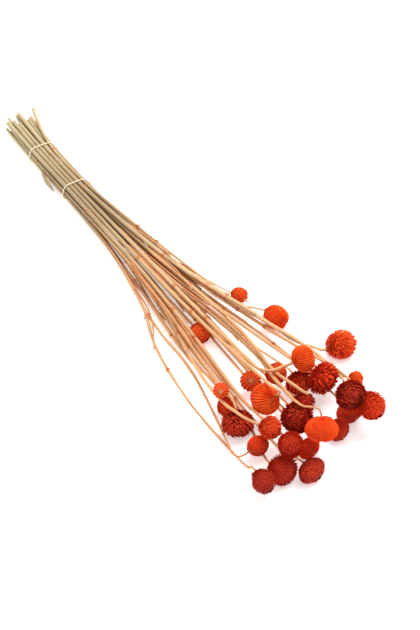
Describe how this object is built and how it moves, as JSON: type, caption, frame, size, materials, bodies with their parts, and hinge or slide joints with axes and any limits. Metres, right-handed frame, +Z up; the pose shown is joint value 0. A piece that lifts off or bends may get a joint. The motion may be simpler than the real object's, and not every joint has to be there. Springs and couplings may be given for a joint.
{
  "type": "tied bunch of dried globe amaranth",
  "caption": "Lying bunch of dried, orange-dyed globe amaranth: papery round heads on thin stems that fan out from two bands.",
  "frame": {"origin": "under the middle of the bunch's box, on the surface that it lies on", "axes": "+X along the bunch from the cut ends to the heads, +Z up, +Y to the side where the fan is longest"},
  "size_m": [0.5368, 0.162, 0.053],
  "materials": {
    "orange_bracts": "dry papery bracts, dyed bright orange, matte",
    "crimson_bracts": "dry papery bracts, dyed deep orange red, matte",
    "dried_stem": "dried ridged stem, straw to tan, satin",
    "elastic_band": "thin cream band, matte"
  },
  "bodies": {
    "root": {"head_01": "orange_bracts", "head_02": "orange_bracts", "head_03": "orange_bracts", "head_04": "orange_bracts", "head_05": "crimson_bracts", "head_06": "orange_bracts", "head_07": "orange_bracts", "head_08": "orange_bracts", "head_09": "orange_bracts", "head_10": "orange_bracts", "head_11": "crimson_bracts", "head_12": "orange_bracts", "head_13": "crimson_bracts", "head_14": "orange_bracts", "head_15": "crimson_bracts", "head_16": "orange_bracts", "head_17": "crimson_bracts", "head_18": "crimson_bracts", "head_19": "orange_bracts", "head_20": "crimson_bracts", "head_21": "orange_bracts", "head_22": "crimson_bracts", "head_23": "orange_bracts", "head_24": "crimson_bracts", "head_25": "orange_bracts", "head_26": "orange_bracts", "head_27": "crimson_bracts", "head_28": "orange_bracts", "stem_01": "dried_stem", "stem_02": "dried_stem", "stem_03": "dried_stem", "stem_04": "dried_stem", "stem_05": "dried_stem", "stem_06": "dried_stem", "stem_07": "dried_stem", "stem_08": "dried_stem", "stem_09": "dried_stem", "stem_10": "dried_stem", "stem_11": "dried_stem", "stem_12": "dried_stem", "stem_13": "dried_stem", "stem_14": "dried_stem", "stem_15": "dried_stem", "stem_16": "dried_stem", "stem_17": "dried_stem", "stem_18": "dried_stem", "stem_19": "dried_stem", "stem_20": "dried_stem", "stem_21": "dried_stem", "stem_22": "dried_stem", "stem_23": "dried_stem", "stem_24": "dried_stem", "stem_25": "dried_stem", "stem_26": "dried_stem", "stem_27": "dried_stem", "band_near_cut_ends": "elastic_band", "band_at_fan": "elastic_band"}
  },
  "joints": []
}
